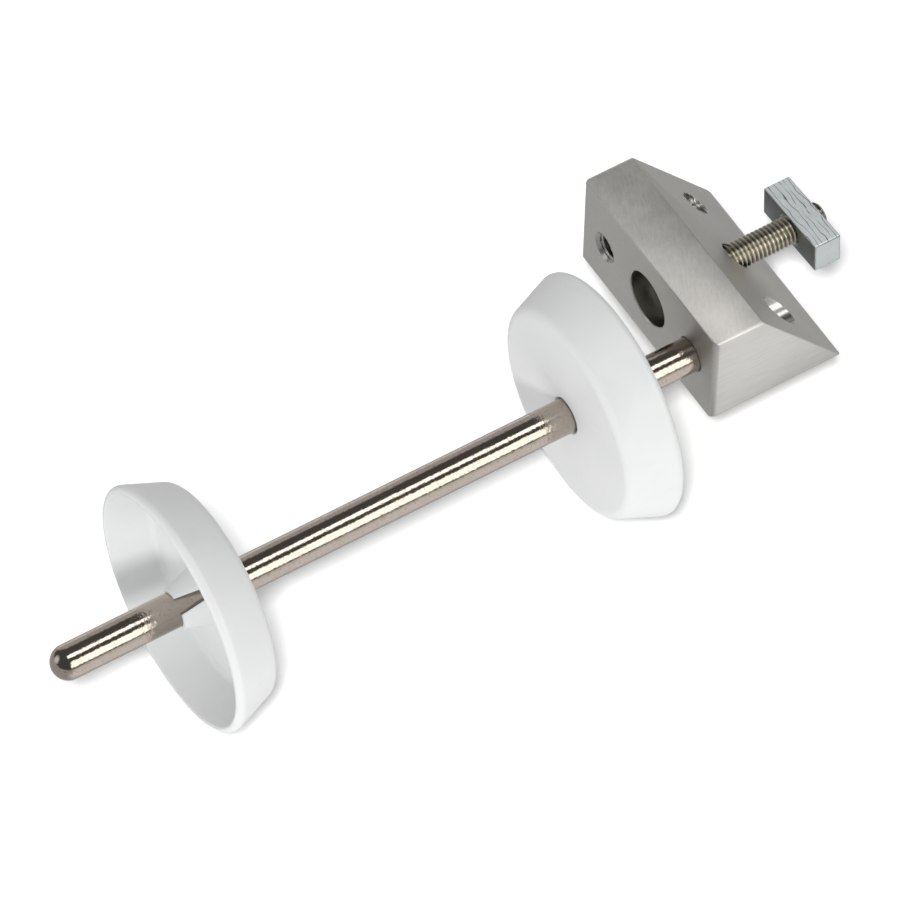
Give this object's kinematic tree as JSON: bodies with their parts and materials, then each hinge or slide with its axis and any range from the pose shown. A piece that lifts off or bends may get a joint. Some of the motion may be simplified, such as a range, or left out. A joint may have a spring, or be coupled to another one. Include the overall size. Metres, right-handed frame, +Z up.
{
  "type": "spool holder stand",
  "caption": "Spool holder: a clamp block with a slanted seat carries a level rod with two sliding centring cones, and a clamp screw with a slot nut fastens it to a rail.",
  "frame": {"origin": "where the clamp screw's axis crosses the block's slanted seat face", "axes": "+Y along the clamp screw and the rod, from the rod's free end towards the rail; +Z up, square to the block's top and base; +X towards the rod's end of the block"},
  "size_m": [0.0549, 0.1539, 0.0438],
  "materials": {
    "satin_aluminium": "satin, fine milling marks",
    "nickel_plate": "bright nickel plate with fine pits",
    "white_plastic": "satin moulded plastic",
    "screw_steel": "rolled thread, faintly yellow",
    "zinc_plate": "bright zinc plate over drawn bar",
    "black_steel": "black oxide"
  },
  "bodies": {
    "block": {"mounting_block": "satin_aluminium"},
    "rod": {"spool_rod": "nickel_plate"},
    "front_cone": {"front_cone": "white_plastic"},
    "rear_cone": {"rear_cone": "white_plastic"},
    "clamp_screw": {"clamp_screw": "screw_steel"},
    "slot_nut": {"slot_nut": "zinc_plate"},
    "rod_set_screw": {"rod_set_screw": "black_steel"}
  },
  "joints": [
    {"name": "rod_turn", "type": "hinge", "parent": "block", "child": "rod", "pos_m": [0.013, -0.05, 0], "axis": [0, 1, 0], "continuous": true},
    {"name": "front_cone_slide", "type": "slide", "parent": "rod", "child": "front_cone", "axis": [0, 1, 0], "range_m": [-0.019, 0.04]},
    {"name": "rear_cone_slide", "type": "slide", "parent": "rod", "child": "rear_cone", "axis": [0, 1, 0], "range_m": [-0.02, 0.013]},
    {"name": "clamp_screw_turn", "type": "hinge", "parent": "block", "child": "clamp_screw", "pos_m": [0, 0, 0], "axis": [0, 1, 0], "range_deg": [-455, 3066]},
    {"name": "slot_nut_slide", "type": "slide", "parent": "block", "child": "slot_nut", "axis": [0, 1, 0], "range_m": [-0.0068, 0.001]},
    {"name": "rod_set_screw_slide", "type": "slide", "parent": "block", "child": "rod_set_screw", "axis": [0, 0, 1], "range_m": [-0.0015, 0]}
  ],
  "couplings": [
    {"joint": "clamp_screw_turn", "follows": "slot_nut_slide", "rad_per_m": -7854}
  ]
}
